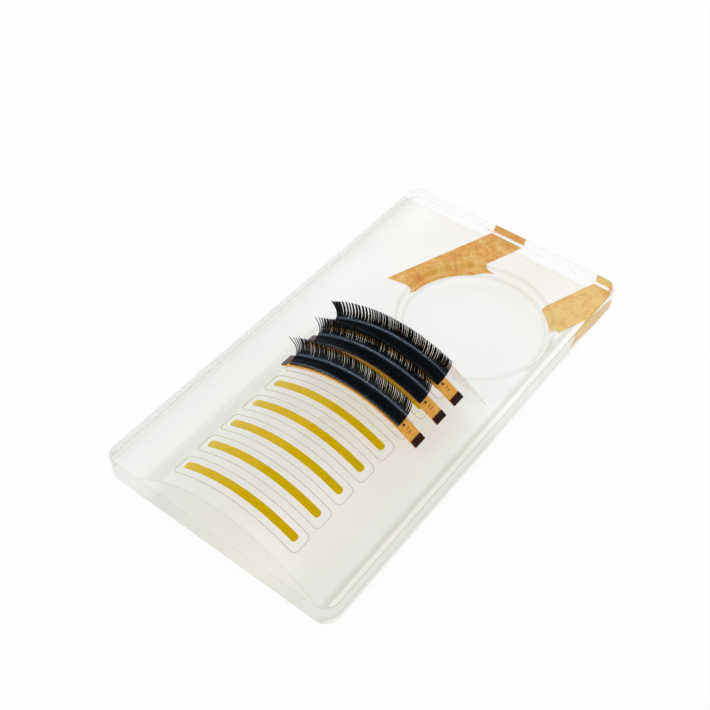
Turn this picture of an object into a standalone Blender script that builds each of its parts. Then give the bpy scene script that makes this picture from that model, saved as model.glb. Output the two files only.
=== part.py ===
# Lash extension holder: a clear acrylic base with a domed lash bed and a round glue well.
# Three strips of lash extensions lie on the last rows of the bed and lift off it.
# Metres, +Z up. The origin is on the underside, in the middle of the base. The bed is at -Y.
import bpy
import bmesh
import math
from mathutils import Matrix, Vector

# Base
BASE_WIDTH = 0.0695
BASE_THICKNESS = 0.0070
CORNER_RADIUS = 0.0038
TOP_BEVEL = 0.0009
BOTTOM_BEVEL = 0.0005

# Domed lash bed, bonded to the base
BED_WIDTH = 0.0520
BED_RISE = 0.0110
BED_SIDE_HEIGHT = 0.0003
BED_OFF_CENTRE = 0.0038
BED_TO_FRONT = 0.0002
BED_END_BEVEL = 0.0002
BOND_GAP = 0.0003
BED_FACETS = 48

# Round glue well
WELL_RADIUS = 0.0225
WELL_WALL_RUN = 0.0044
WELL_DEPTH = 0.0024
WELL_TO_BED = 0.0010
WELL_SIDE_MARGIN = 0.0017
WELL_BACK_MARGIN = 0.0140
WELL_FACETS = 72
WELL_WALL_STEPS = 4

# Guide rows printed across the bed
ROW_COUNT = 8
ROW_PITCH = 0.00793
FIRST_ROW = 0.00675
LAST_ROW_TO_BACK = 0.00754
GUIDE_SHIFT = -0.0001
BAR_LENGTH = 0.0345
BAR_WIDTH = 0.0021
BAR_CORNER = 0.0008
OUTLINE_END_GAP = 0.0020
OUTLINE_SIDE_GAP = 0.0019
OUTLINE_CORNER = 0.0014
OUTLINE_LINE = 0.00025
PRINT_THICKNESS = 0.0001
PRINT_GAP = 0.0001
BEND_SLICE = 0.0033
ARC_STEPS = 6

# Gold leaf bands under the far right corner of the base
LEAF_WIDTH = 0.0098
LEAF_ANGLE = math.radians(20.5)
LEAF_THICKNESS = 0.0001
LEAF_GAP = 0.0001
LEAF_LIFT = 0.00005
LEAF_EDGE_INSET = 0.0006
LEAF_TO_WELL = 0.0006
LEAF_LEFT_OF_WELL = 0.0254
LEAF_RIGHT_OF_WELL = 0.0089
LEAF_TIP_PAST_WELL = 0.0026
LEAF_TIP_SLANT = math.radians(12.0)

# Lash strips
STRIP_ROWS = (6, 7, 8)
STRIP_AHEAD_OF_ROW = (0.0014, 0.0004, 0.0009)
TAPE_LENGTH = 0.0440
TAPE_WIDTH = 0.0038
TAPE_THICKNESS = 0.00015
TAPE_GAP = 0.0001
TAPE_SHIFT = 0.0006
TAB_LENGTH = 0.0019
TAB_THICKNESS = 0.0001
TAB_GAP = 0.0001
LASH_INSET = 0.0028
TAIL_LENGTH = 0.0066
ROOT_SETBACK = 0.0009
ROOT_RUN = 0.0014
ROOT_THICKNESS = 0.00028
ROOT_GAP = 0.0001
ROOT_SLICES = 11
LASHES_PER_SLICE = 10
STRAND_SIZES = (0.85, 0.70, 0.45)
LIFT_BEND_RADIUS = 0.0020
LIFT_BEND = math.radians(80)
CURL_RADIUS = 0.0083
CURL_BEND = math.radians(35)
LENGTH_SPREAD = 0.05
LENGTH_STEP = 2.4

# Places that follow from the sizes
BED_LENGTH = FIRST_ROW + (ROW_COUNT - 1) * ROW_PITCH + LAST_ROW_TO_BACK
BASE_LENGTH = BED_TO_FRONT + BED_LENGTH + WELL_TO_BED + 2 * WELL_RADIUS + WELL_BACK_MARGIN
FRONT = -BASE_LENGTH / 2
BED_FRONT = FRONT + BED_TO_FRONT
BED_BACK = BED_FRONT + BED_LENGTH
BED_FLOOR = BASE_THICKNESS + BOND_GAP
BED_CROWN_RADIUS = BED_WIDTH ** 2 / (8 * (BED_RISE - BED_SIDE_HEIGHT))
BED_TOP = BED_FLOOR + BED_RISE
WELL_X = BASE_WIDTH / 2 - WELL_SIDE_MARGIN - WELL_RADIUS
WELL_Y = BED_BACK + WELL_TO_BED + WELL_RADIUS
WELL_FLOOR_RADIUS = WELL_RADIUS - WELL_WALL_RUN
LEAF_FROM_WELL = {"gold_leaf_band_1": -LEAF_LEFT_OF_WELL, "gold_leaf_band_2": LEAF_RIGHT_OF_WELL}
OUTLINE_LENGTH = BAR_LENGTH + 2 * OUTLINE_END_GAP
OUTLINE_WIDTH = BAR_WIDTH + 2 * OUTLINE_SIDE_GAP
TAPE_LEVEL = PRINT_GAP + PRINT_THICKNESS + TAPE_GAP
TAB_LEVEL = TAPE_LEVEL + TAPE_THICKNESS + TAB_GAP
ROOT_LEVEL = TAPE_LEVEL + TAPE_THICKNESS + ROOT_GAP
CUT_OVERRUN = 0.001


def row_y(row):
    return BED_FRONT + FIRST_ROW + (row - 1) * ROW_PITCH


# Scene, collections and materials
for old in list(bpy.data.objects):
    bpy.data.objects.remove(old, do_unlink=True)
parts = bpy.data.collections.new("lash_extension_holder")
cutters = bpy.data.collections.new("cutters")
bpy.context.scene.collection.children.link(parts)
bpy.context.scene.collection.children.link(cutters)


def material(name, colour, roughness, metallic=0.0, transmission=0.0):
    made = bpy.data.materials.new(name)
    made.use_nodes = True
    shader = made.node_tree.nodes["Principled BSDF"]
    shader.inputs["Base Color"].default_value = (*colour, 1.0)
    shader.inputs["Roughness"].default_value = roughness
    shader.inputs["Metallic"].default_value = metallic
    shader.inputs["Transmission Weight"].default_value = transmission
    return made


ACRYLIC = material("clear cast acrylic", (0.90, 0.93, 0.92), 0.03, transmission=1.0)
GUIDE_INK = material("yellow gold ink", (0.58, 0.38, 0.03), 0.35, metallic=0.4)
LINE_INK = material("pale gold line ink", (0.62, 0.58, 0.38), 0.40)
GOLD_LEAF = material("gold leaf", (0.76, 0.44, 0.12), 0.40, metallic=0.6)
FOIL_TAPE = material("copper foil tape", (0.82, 0.42, 0.11), 0.40, metallic=0.3)
END_TAB = material("dark brown tab", (0.05, 0.012, 0.008), 0.50)
LASH_FIBRE = material("black PBT lash fibre", (0.006, 0.007, 0.012), 0.35)


def add_object(name, bm, mat, collection=parts):
    """Closes a bmesh into a named object whose faces point out, so that its volume is positive."""
    bmesh.ops.recalc_face_normals(bm, faces=bm.faces)
    if bm.calc_volume(signed=True) < 0:
        bmesh.ops.reverse_faces(bm, faces=bm.faces)
    mesh = bpy.data.meshes.new(name)
    bm.to_mesh(mesh)
    bm.free()
    made = bpy.data.objects.new(name, mesh)
    collection.objects.link(made)
    if mat is not None:
        mesh.materials.append(mat)
    return made


def make_cutter(cutter):
    cutter.hide_render = True
    cutter.display_type = "WIRE"
    return cutter


def cut(piece, cutter):
    boolean = piece.modifiers.new(cutter.name, "BOOLEAN")
    boolean.operation = "DIFFERENCE"
    boolean.solver = "EXACT"
    boolean.object = cutter


def box(length_x, length_y, low_z, high_z):
    """A block centred in plan, between two heights."""
    bm = bmesh.new()
    bmesh.ops.create_cube(bm, size=1.0)
    bmesh.ops.scale(bm, vec=(length_x, length_y, high_z - low_z), verts=bm.verts)
    bmesh.ops.translate(bm, vec=(0, 0, (low_z + high_z) / 2), verts=bm.verts)
    return bm


def upright_edges(bm):
    return [e for e in bm.edges if abs(e.verts[0].co.z - e.verts[1].co.z) > 1e-6
            and (e.verts[0].co.xy - e.verts[1].co.xy).length < 1e-7]


def edges_at_height(bm, height):
    return [e for e in bm.edges if all(abs(v.co.z - height) < 1e-7 for v in e.verts)]


# Base slab with rounded corners, bevelled rims and the glue well
def base_slab():
    bm = box(BASE_WIDTH, BASE_LENGTH, 0.0, BASE_THICKNESS)
    bmesh.ops.bevel(bm, geom=upright_edges(bm), offset=CORNER_RADIUS, segments=5,
                    profile=0.5, affect="EDGES")
    bmesh.ops.bevel(bm, geom=edges_at_height(bm, BASE_THICKNESS), offset=TOP_BEVEL, segments=2,
                    profile=0.5, affect="EDGES")
    bmesh.ops.bevel(bm, geom=edges_at_height(bm, 0.0), offset=BOTTOM_BEVEL, segments=1,
                    affect="EDGES")
    return add_object("base_slab", bm, ACRYLIC)


def well_profile():
    """Section of the well from its axis: flat floor, then a wall that curves up and rolls over."""
    run = WELL_WALL_RUN / 2
    rise = WELL_DEPTH / 2
    floor_z = BASE_THICKNESS - WELL_DEPTH
    above = BASE_THICKNESS + CUT_OVERRUN
    hollow = []
    lip = []
    for step in range(WELL_WALL_STEPS + 1):
        turn = math.radians(90) * step / WELL_WALL_STEPS
        hollow.append((WELL_FLOOR_RADIUS + run * math.sin(turn), floor_z + rise * (1 - math.cos(turn))))
        lip.append((WELL_RADIUS - run * math.sin(turn), BASE_THICKNESS - rise * (1 - math.cos(turn))))
    rising = [(0.0, floor_z)] + hollow + lip[::-1][1:] + [(WELL_RADIUS, above), (0.0, above)]
    return rising[::-1]


def well_cutter():
    mesh = bpy.data.meshes.new("well_cutter")
    section = well_profile()
    edges = [(i, i + 1) for i in range(len(section) - 1)]
    mesh.from_pydata([(r, 0.0, z) for r, z in section], edges, [])
    turned = bpy.data.objects.new("well_cutter", mesh)
    cutters.objects.link(turned)
    turned.location = (WELL_X, WELL_Y, 0.0)
    screw = turned.modifiers.new("turn", "SCREW")
    screw.axis = "Z"
    screw.steps = WELL_FACETS
    screw.render_steps = WELL_FACETS
    screw.use_merge_vertices = True
    screw.merge_threshold = 0.00001
    screw.use_normal_calculate = False
    return make_cutter(turned)


# Domed bed: an arch section along Y, round at the crown and straighter down its sides, like a
# parabola, with its two end rims bevelled
def lash_bed():
    outline = bpy.data.curves.new("bed_section", "CURVE")
    outline.dimensions = "2D"
    outline.fill_mode = "BOTH"
    outline.extrude = BED_LENGTH / 2
    points = [(-BED_WIDTH / 2, 0.0), (BED_WIDTH / 2, 0.0)]
    for step in range(BED_FACETS + 1):
        across = BED_WIDTH * (0.5 - step / BED_FACETS)
        points.append((across, BED_RISE - across ** 2 / (2 * BED_CROWN_RADIUS)))
    spline = outline.splines.new("POLY")
    spline.points.add(len(points) - 1)
    for point, (across, up) in zip(spline.points, points):
        point.co = (across, up, 0.0, 1.0)
    spline.use_cyclic_u = True
    drawn = bpy.data.objects.new("bed_section", outline)
    cutters.objects.link(drawn)
    bpy.context.view_layer.update()
    flat = bpy.data.meshes.new_from_object(drawn.evaluated_get(bpy.context.evaluated_depsgraph_get()))
    bpy.data.objects.remove(drawn, do_unlink=True)
    bm = bmesh.new()
    bm.from_mesh(flat)
    bmesh.ops.remove_doubles(bm, verts=bm.verts, dist=0.000001)
    bmesh.ops.rotate(bm, cent=(0, 0, 0), matrix=Matrix.Rotation(math.radians(90), 3, "X"), verts=bm.verts)
    bmesh.ops.dissolve_limit(bm, angle_limit=math.radians(0.1), verts=bm.verts, edges=bm.edges)
    rims = [e for e in bm.edges if abs(abs(e.verts[0].co.y) - BED_LENGTH / 2) < 1e-6
            and abs(e.verts[0].co.y - e.verts[1].co.y) < 1e-6
            and min(v.co.z for v in e.verts) > BED_SIDE_HEIGHT / 2]
    bmesh.ops.bevel(bm, geom=rims, offset=BED_END_BEVEL, segments=1, affect="EDGES")
    bed = add_object("lash_bed", bm, ACRYLIC)
    bed.location = (BED_OFF_CENTRE, (BED_FRONT + BED_BACK) / 2, BED_FLOOR)
    return bed


# Thin flat pieces that are sliced across and then laid over the dome
def slice_across(bm, count=None):
    """Cuts the flat piece across, every few millimetres if no count is given, so that it can bend."""
    low = min(v.co.x for v in bm.verts)
    high = max(v.co.x for v in bm.verts)
    count = count or max(2, round((high - low) / BEND_SLICE))
    for step in range(1, count):
        bmesh.ops.bisect_plane(bm, geom=bm.verts[:] + bm.edges[:] + bm.faces[:], dist=1e-7,
                               plane_co=(low + (high - low) * step / count, 0, 0), plane_no=(1, 0, 0))


def across_at(way):
    """How far from the crown, across the bed, a point is that lies this way along its curve."""
    across = way
    for _ in range(ARC_STEPS):
        slope = across / BED_CROWN_RADIUS
        lean = math.hypot(1, slope)
        across -= ((across * lean + BED_CROWN_RADIUS * math.asinh(slope)) / 2 - way) / lean
    return across


def lay_on_bed(bm):
    """Bends a flat piece: x becomes the way along the arch and z the height above the bed."""
    for vert in bm.verts:
        across = across_at(vert.co.x)
        slope = across / BED_CROWN_RADIUS
        lean = math.hypot(1, slope)
        vert.co.x = across + vert.co.z * slope / lean
        vert.co.z = vert.co.z / lean - across * slope / 2


def guide_bar(row):
    bm = box(BAR_LENGTH, BAR_WIDTH, PRINT_GAP, PRINT_GAP + PRINT_THICKNESS)
    bmesh.ops.bevel(bm, geom=upright_edges(bm), offset=BAR_CORNER, segments=3, profile=0.5,
                    affect="EDGES")
    slice_across(bm)
    bmesh.ops.translate(bm, vec=(GUIDE_SHIFT, 0, 0), verts=bm.verts)
    lay_on_bed(bm)
    bar = add_object(f"guide_bar_{row}", bm, GUIDE_INK)
    bar.location = (BED_OFF_CENTRE, row_y(row), BED_TOP)


def guide_outline(row):
    bm = box(OUTLINE_LENGTH, OUTLINE_WIDTH, PRINT_GAP, PRINT_GAP + PRINT_THICKNESS)
    bmesh.ops.bevel(bm, geom=upright_edges(bm), offset=OUTLINE_CORNER, segments=2, profile=0.5,
                    affect="EDGES")
    bm.normal_update()
    flats = [f for f in bm.faces if abs(f.normal.z) > 0.9]
    bmesh.ops.inset_region(bm, faces=flats, thickness=OUTLINE_LINE, use_even_offset=True)
    rims = [e for f in flats for e in f.edges]
    bmesh.ops.delete(bm, geom=flats, context="FACES_ONLY")
    bmesh.ops.bridge_loops(bm, edges=[e for e in rims if e.is_valid and e.is_boundary])
    slice_across(bm)
    bmesh.ops.translate(bm, vec=(GUIDE_SHIFT, 0, 0), verts=bm.verts)
    lay_on_bed(bm)
    outline = add_object(f"guide_outline_{row}", bm, LINE_INK)
    outline.location = (BED_OFF_CENTRE, row_y(row), BED_TOP)


# Gold leaf: slanting bands under the base, trimmed round the well
def leaf_band(name, grow, low_z, high_z, mat, collection):
    """One band, grown all round by a clearance when it is the pocket that takes the leaf."""
    back = BASE_LENGTH / 2 - LEAF_EDGE_INSET + grow
    side = BASE_WIDTH / 2 - LEAF_EDGE_INSET + grow
    beside_well = WELL_X + LEAF_FROM_WELL[name.replace("_pocket", "")]
    bm = box(LEAF_WIDTH + 2 * grow, 2 * BASE_LENGTH, low_z, high_z)
    bmesh.ops.rotate(bm, cent=(0, 0, 0), matrix=Matrix.Rotation(-LEAF_ANGLE, 3, "Z"), verts=bm.verts)
    bmesh.ops.translate(bm, vec=(beside_well, WELL_Y, 0), verts=bm.verts)
    tip = (beside_well + LEAF_TIP_PAST_WELL * math.tan(LEAF_ANGLE), WELL_Y + LEAF_TIP_PAST_WELL - grow, 0)
    trims = (((0, back, 0), (0, 1, 0)), ((side, 0, 0), (1, 0, 0)),
             (tip, (math.sin(LEAF_TIP_SLANT), -math.cos(LEAF_TIP_SLANT), 0)))
    for point, outward in trims:
        kept = bmesh.ops.bisect_plane(bm, geom=bm.verts[:] + bm.edges[:] + bm.faces[:], dist=1e-7,
                                      plane_co=point, plane_no=outward, clear_outer=True)
        rim = [e for e in kept["geom_cut"] if isinstance(e, bmesh.types.BMEdge)]
        if rim:
            bmesh.ops.contextual_create(bm, geom=rim)
    band = add_object(name, bm, mat, collection)
    trim = add_object(name + "_trim", round_cutter(grow), None, cutters)
    trim.location = (WELL_X, WELL_Y, 0.0)
    cut(band, make_cutter(trim))
    return band


def round_cutter(grow):
    bm = bmesh.new()
    bmesh.ops.create_cone(bm, cap_ends=True, segments=WELL_FACETS, radius1=WELL_RADIUS + LEAF_TO_WELL - grow,
                          radius2=WELL_RADIUS + LEAF_TO_WELL - grow, depth=BASE_THICKNESS)
    return bm


# Lash strips
def strip_anchor(number):
    """The point at the crown of the bed, on the near edge of the tape, that the strip lifts from."""
    anchor = bpy.data.objects.new(f"strip_{number}_lift", None)
    parts.objects.link(anchor)
    near_edge = row_y(STRIP_ROWS[number - 1]) - STRIP_AHEAD_OF_ROW[number - 1]
    anchor.location = (BED_OFF_CENTRE, near_edge, BED_TOP)
    return anchor


def flat_patch(name, start, length, width, level, thickness, mat, anchor):
    """A thin patch along the arch, from start, whose near edge is on the tape's near edge."""
    bm = box(length, width, level, level + thickness)
    slice_across(bm)
    bmesh.ops.translate(bm, vec=(start + length / 2, width / 2, 0), verts=bm.verts)
    lay_on_bed(bm)
    add_object(name, bm, mat).parent = anchor


def lash_path(turn, length=1.0):
    """Reach and height of a lash where it has turned this far: a tight lift, then a long curl."""
    lift = min(turn, LIFT_BEND)
    reach = LIFT_BEND_RADIUS * math.sin(lift)
    height = LIFT_BEND_RADIUS * (1 - math.cos(lift))
    reach += CURL_RADIUS * length * (math.sin(max(turn, LIFT_BEND)) - math.sin(LIFT_BEND))
    height += CURL_RADIUS * length * (math.cos(LIFT_BEND) - math.cos(max(turn, LIFT_BEND)))
    return reach, height


def lash_fan(name, start, length, anchor):
    """A slice of root band whose far edge is drawn out into one row of tapering lashes."""
    bm = box(length, ROOT_RUN, ROOT_LEVEL, ROOT_LEVEL + ROOT_THICKNESS)
    bmesh.ops.translate(bm, vec=(start + length / 2, ROOT_SETBACK + ROOT_RUN / 2, 0), verts=bm.verts)
    far = ROOT_SETBACK + ROOT_RUN
    slice_across(bm, ROOT_SLICES)
    at_far = [e for e in bm.edges if all(v.co.y > far - 1e-7 for v in e.verts)
              and abs(e.verts[0].co.x - e.verts[1].co.x) > 1e-6]
    bmesh.ops.subdivide_edges(bm, edges=at_far, cuts=LASHES_PER_SLICE - 1, use_grid_fill=False)
    roots = [f for f in bm.faces if all(v.co.y > far - 1e-7 for v in f.verts)]
    for root in roots:
        corners = sorted(root.verts, key=lambda v: v.co.x + v.co.z)
        bmesh.utils.face_split(root, corners[0], corners[-1])
    bmesh.ops.triangulate(bm, faces=bm.faces)
    middle = ROOT_LEVEL + ROOT_THICKNESS / 2
    roots = [f for f in bm.faces if all(v.co.y > far - 1e-7 for v in f.verts)
             and sum(v.co.z < middle for v in f.verts) == 2]
    roots.sort(key=lambda f: f.calc_center_median().x)
    centres = [f.calc_center_median() for f in roots]
    root_of = bm.verts.layers.float_vector.new("root")
    for vert in bm.verts:
        vert[root_of] = vert.co
    ends = roots
    turns = (LIFT_BEND / 2, LIFT_BEND, LIFT_BEND + CURL_BEND / 2)
    for turn, size in zip(turns, STRAND_SIZES):
        ends = bmesh.ops.extrude_discrete_faces(bm, faces=ends)["faces"]
        reach, height = lash_path(turn)
        for face in ends:
            corners = [Vector(v[root_of]) for v in face.verts]
            centre = sum(corners, Vector()) / len(corners)
            for vert, corner in zip(face.verts, corners):
                off = (corner - centre) * size
                vert.co = (centre.x + off.x, far + reach - off.z * math.sin(turn),
                           centre.z + height + off.z * math.cos(turn))
    points = bmesh.ops.poke(bm, faces=ends)["verts"]
    points.sort(key=lambda v: v.co.x)
    for index, (vert, centre) in enumerate(zip(points, centres)):
        reach, height = lash_path(LIFT_BEND + CURL_BEND, 1 + LENGTH_SPREAD * math.sin(index * LENGTH_STEP))
        vert.co = (centre.x, far + reach, centre.z + height)
    bm.verts.layers.float_vector.remove(root_of)
    lay_on_bed(bm)
    add_object(name, bm, LASH_FIBRE).parent = anchor


def lash_strip(number):
    anchor = strip_anchor(number)
    start = TAPE_SHIFT - TAPE_LENGTH / 2
    end = start + TAPE_LENGTH
    flat_patch(f"strip_{number}_tape", start, TAPE_LENGTH, TAPE_WIDTH, TAPE_LEVEL, TAPE_THICKNESS,
               FOIL_TAPE, anchor)
    flat_patch(f"strip_{number}_left_tab", start, TAB_LENGTH, TAPE_WIDTH, TAB_LEVEL, TAB_THICKNESS,
               END_TAB, anchor)
    flat_patch(f"strip_{number}_right_tab", end - TAB_LENGTH, TAB_LENGTH, TAPE_WIDTH, TAB_LEVEL,
               TAB_THICKNESS, END_TAB, anchor)
    lash_fan(f"strip_{number}_lashes", start + LASH_INSET, TAPE_LENGTH - LASH_INSET - TAIL_LENGTH, anchor)


# Build
base = base_slab()
cut(base, well_cutter())
for leaf_name in LEAF_FROM_WELL:
    leaf_top = LEAF_LIFT + LEAF_THICKNESS
    leaf_band(leaf_name, 0.0, LEAF_LIFT, leaf_top, GOLD_LEAF, parts)
    pocket = leaf_band(leaf_name + "_pocket", LEAF_GAP, -CUT_OVERRUN, leaf_top + LEAF_GAP, None, cutters)
    cut(base, make_cutter(pocket))
lash_bed()
for guide_row in range(1, ROW_COUNT + 1):
    guide_bar(guide_row)
    guide_outline(guide_row)
for strip_number in range(1, len(STRIP_ROWS) + 1):
    lash_strip(strip_number)
for piece in parts.objects:
    if piece.type == "MESH" and piece.name.startswith(("lash_bed", "base_slab")):
        piece.data.shade_smooth()
        piece.data.set_sharp_from_angle(angle=math.radians(20))
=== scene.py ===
# %% [markdown]
# A clear holder for lash extensions
#
# A lash technician works from a palm-sized tile of polished acrylic. Strips of false lashes
# lie bent over its domed bed, so that the lashes fan out, and a drop of glue sits in the round well.
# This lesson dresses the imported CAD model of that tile: it makes the pieces whose look the plain
# solids can't give, and a material for every surface.

# %% Load the frame
import math
import random

import bmesh
import bpy
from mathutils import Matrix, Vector


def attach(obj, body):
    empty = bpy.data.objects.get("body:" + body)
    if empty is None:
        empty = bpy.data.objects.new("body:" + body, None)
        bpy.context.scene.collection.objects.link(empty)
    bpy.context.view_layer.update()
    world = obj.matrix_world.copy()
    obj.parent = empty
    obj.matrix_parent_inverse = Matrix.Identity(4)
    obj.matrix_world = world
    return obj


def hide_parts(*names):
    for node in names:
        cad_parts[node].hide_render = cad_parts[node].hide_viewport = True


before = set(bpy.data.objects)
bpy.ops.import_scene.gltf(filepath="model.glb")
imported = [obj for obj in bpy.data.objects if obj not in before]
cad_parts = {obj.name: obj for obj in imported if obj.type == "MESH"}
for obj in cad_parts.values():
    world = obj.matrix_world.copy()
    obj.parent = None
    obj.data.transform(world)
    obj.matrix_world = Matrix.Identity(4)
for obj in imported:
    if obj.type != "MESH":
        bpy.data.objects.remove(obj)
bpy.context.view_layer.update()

# %% [markdown]
# Measures
#
# The CAD model fixes where everything is, and its main measures are repeated here in metres. The
# bed's section is a parabola, round at the crown and straighter down its sides, so a print or a tape
# is drawn flat and then laid over that curve.

# %% Measures in metres
BASE_WIDTH, BASE_LENGTH, BASE_THICKNESS = 0.0695, 0.1300, 0.0070
CORNER_RADIUS, TOP_BEVEL, BOTTOM_BEVEL = 0.0038, 0.0005, 0.0004
BED_X, BED_FRONT, BED_BACK, BED_TOP = 0.0038, -0.0648, 0.0050, 0.0183
CROWN_RADIUS, BED_RIM = 0.03159, 0.0003
WELL_X, WELL_Y, WELL_DEPTH = 0.01055, 0.0285, 0.0024
WELL_RADIUS, WELL_FLOOR_RADIUS = 0.0225, 0.0181
ROW_COUNT, FIRST_ROW_Y, ROW_PITCH = 8, -0.05805, 0.00793
ROW_YS = [FIRST_ROW_Y + ROW_PITCH * row for row in range(ROW_COUNT)]
# The row of each strip, counted from 0, and how far in front of it the strip was laid
STRIP_ROWS = ((5, 0.0014), (6, 0.0004), (7, 0.0009))
STRIP_YS = [ROW_YS[row] - ahead for row, ahead in STRIP_ROWS]
print("rows at", [round(1000 * y, 1) for y in ROW_YS], "mm")

# %% [markdown]
# Small helpers
#
# Modelling by hand is selecting and then acting on what is selected. These helpers do the
# selecting: one clears the selection before a new primitive is added, and one picks the points,
# edges or faces of a piece in edit mode by a test on their place.

# %% Helpers for modelling
# Two places nearer to each other than this count as one
SAME_PLACE = 1e-6


def fresh():
    """Leaves edit mode and selects nothing."""
    if bpy.context.mode != "OBJECT":
        bpy.ops.object.mode_set(mode="OBJECT")
    bpy.ops.object.select_all(action="DESELECT")


def keep(name):
    """Names the piece just added and puts its place and size into its mesh."""
    piece = bpy.context.object
    piece.name = piece.data.name = name
    bpy.ops.object.transform_apply(location=True, rotation=True, scale=True)
    return piece


def choose(piece):
    """Selects one finished piece and nothing else."""
    fresh()
    piece.select_set(True)
    bpy.context.view_layer.objects.active = piece


def pick(piece, kind, test):
    """Selects the points, edges or faces of the piece that pass the test, in edit mode."""
    bpy.ops.mesh.select_mode(type=kind)
    bpy.ops.mesh.select_all(action="DESELECT")
    shape = bmesh.from_edit_mesh(piece.data)
    for item in {"VERT": shape.verts, "EDGE": shape.edges, "FACE": shape.faces}[kind]:
        if test(item):
            item.select_set(True)
    bmesh.update_edit_mesh(piece.data)


def finish_modifiers(piece):
    """Applies every modifier of the piece, in order."""
    choose(piece)
    for modifier in list(piece.modifiers):
        bpy.ops.object.modifier_apply(modifier=modifier.name)


# %% [markdown]
# The clear block
#
# The tile is cast acrylic: a slab with rounded corners, a second block bonded on it whose top is
# milled to an arch, and a round well turned into the slab. The bond is invisible, so light passes
# from one block to the other as in one piece. For that reason the two are modelled apart and then
# fused by a Boolean, which leaves one closed skin for the light to refract at.

# %% The slab
fresh()
bpy.ops.mesh.primitive_cube_add(size=1, location=(0, 0, BASE_THICKNESS / 2),
                                scale=(BASE_WIDTH, BASE_LENGTH, BASE_THICKNESS))
block = keep("acrylic_block")
bpy.ops.object.mode_set(mode="EDIT")
pick(block, "EDGE", lambda e: abs(e.verts[0].co.z - e.verts[1].co.z) > BASE_THICKNESS / 2)
bpy.ops.mesh.bevel(offset=CORNER_RADIUS, segments=14, profile=0.5, affect="EDGES")
pick(block, "EDGE", lambda e: all(v.co.z > BASE_THICKNESS - SAME_PLACE for v in e.verts))
bpy.ops.mesh.bevel(offset=TOP_BEVEL, segments=5, profile=0.5, affect="EDGES")
pick(block, "EDGE", lambda e: all(v.co.z < SAME_PLACE for v in e.verts))
bpy.ops.mesh.bevel(offset=BOTTOM_BEVEL, segments=3, profile=0.5, affect="EDGES")
fresh()
print("slab faces:", len(block.data.polygons))

# %% [markdown]
# The domed bed
#
# The bed is a second block of the same acrylic, milled to an arch. It starts here as a flat grid,
# whose points are raised to the parabola. The sheet is then extruded down into the slab and levelled
# there. Its front end stands flush with the slab's front face, and its two end rims are eased with
# a small bevel.

# %% Raise the bed
BED_SINK, ABOVE_FOOT = 0.0010, 0.0002
BED_HALF = math.sqrt(2 * CROWN_RADIUS * (BED_TOP - BASE_THICKNESS))
fresh()
bpy.ops.mesh.primitive_grid_add(x_subdivisions=320, y_subdivisions=1, size=1,
                                location=(BED_X, (BED_FRONT + BED_BACK) / 2, BED_TOP))
bpy.context.object.scale = (2 * BED_HALF, BED_BACK - BED_FRONT, 1)
dome = keep("dome")
for vert in dome.data.vertices:
    vert.co.z = BED_TOP - (vert.co.x - BED_X) ** 2 / (2 * CROWN_RADIUS)
bpy.ops.object.mode_set(mode="EDIT")
bpy.ops.mesh.select_all(action="SELECT")
bpy.ops.mesh.extrude_region_move(TRANSFORM_OT_translate={"value": (0, 0, -BED_TOP)})
bpy.ops.transform.resize(value=(1, 1, 0), center_override=(0, 0, BASE_THICKNESS - BED_SINK))
bpy.ops.mesh.select_all(action="SELECT")
bpy.ops.mesh.normals_make_consistent(inside=False)


def on_end_rim(edge):
    """Tells whether this edge runs along the arch at the bed's front or back end."""
    a, b = (v.co for v in edge.verts)
    at_end = min(abs(a.y - BED_FRONT), abs(a.y - BED_BACK)) < SAME_PLACE
    along_end = abs(a.y - b.y) < SAME_PLACE < abs(a.x - b.x)
    return at_end and along_end and min(a.z, b.z) > BASE_THICKNESS + ABOVE_FOOT


pick(dome, "EDGE", on_end_rim)
bpy.ops.mesh.bevel(offset=BED_RIM, segments=3, profile=0.5, affect="EDGES")
fresh()
print("bed faces:", len(dome.data.polygons), "width in mm:", round(2000 * BED_HALF, 1))

# %% [markdown]
# The well
#
# The well is cut by a turned tool, as on a lathe. Its section is drawn once, from the axis out
# along the floor, up a hollow foot and over a rolled lip, and the spin operator turns it round.
# A rounded foot leaves no corner where glue could stay.

# %% The tool that cuts the well
TOOL_ABOVE = 0.0020


def well_section(steps=9):
    """Radii and heights along the tool's section, from the middle of the floor outwards."""
    run = (WELL_RADIUS - WELL_FLOOR_RADIUS) / 2
    rise = WELL_DEPTH / 2
    floor_z = BASE_THICKNESS - WELL_DEPTH
    foot, lip = [], []
    for step in range(steps + 1):
        turn = math.radians(90) * step / steps
        out, up = run * math.sin(turn), rise * (1 - math.cos(turn))
        foot.append((WELL_FLOOR_RADIUS + out, floor_z + up))
        lip.append((WELL_RADIUS - out, BASE_THICKNESS - up))
    above = BASE_THICKNESS + TOOL_ABOVE
    return [(0.0, floor_z)] + foot + lip[::-1][1:] + [(WELL_RADIUS, above), (0.0, above)]


fresh()
section = well_section()
tool_mesh = bpy.data.meshes.new("well_tool")
tool_mesh.from_pydata([(WELL_X + r, WELL_Y, z) for r, z in section],
                      [(i, i + 1) for i in range(len(section) - 1)], [])
tool = bpy.data.objects.new("well_tool", tool_mesh)
bpy.context.collection.objects.link(tool)
choose(tool)
bpy.ops.object.mode_set(mode="EDIT")
bpy.ops.mesh.select_all(action="SELECT")
bpy.ops.mesh.spin(steps=200, angle=math.radians(360), center=(WELL_X, WELL_Y, 0), axis=(0, 0, 1))
bpy.ops.mesh.select_all(action="SELECT")
bpy.ops.mesh.remove_doubles(threshold=SAME_PLACE)
bpy.ops.mesh.normals_make_consistent(inside=False)
fresh()
print("tool faces:", len(tool.data.polygons))

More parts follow.
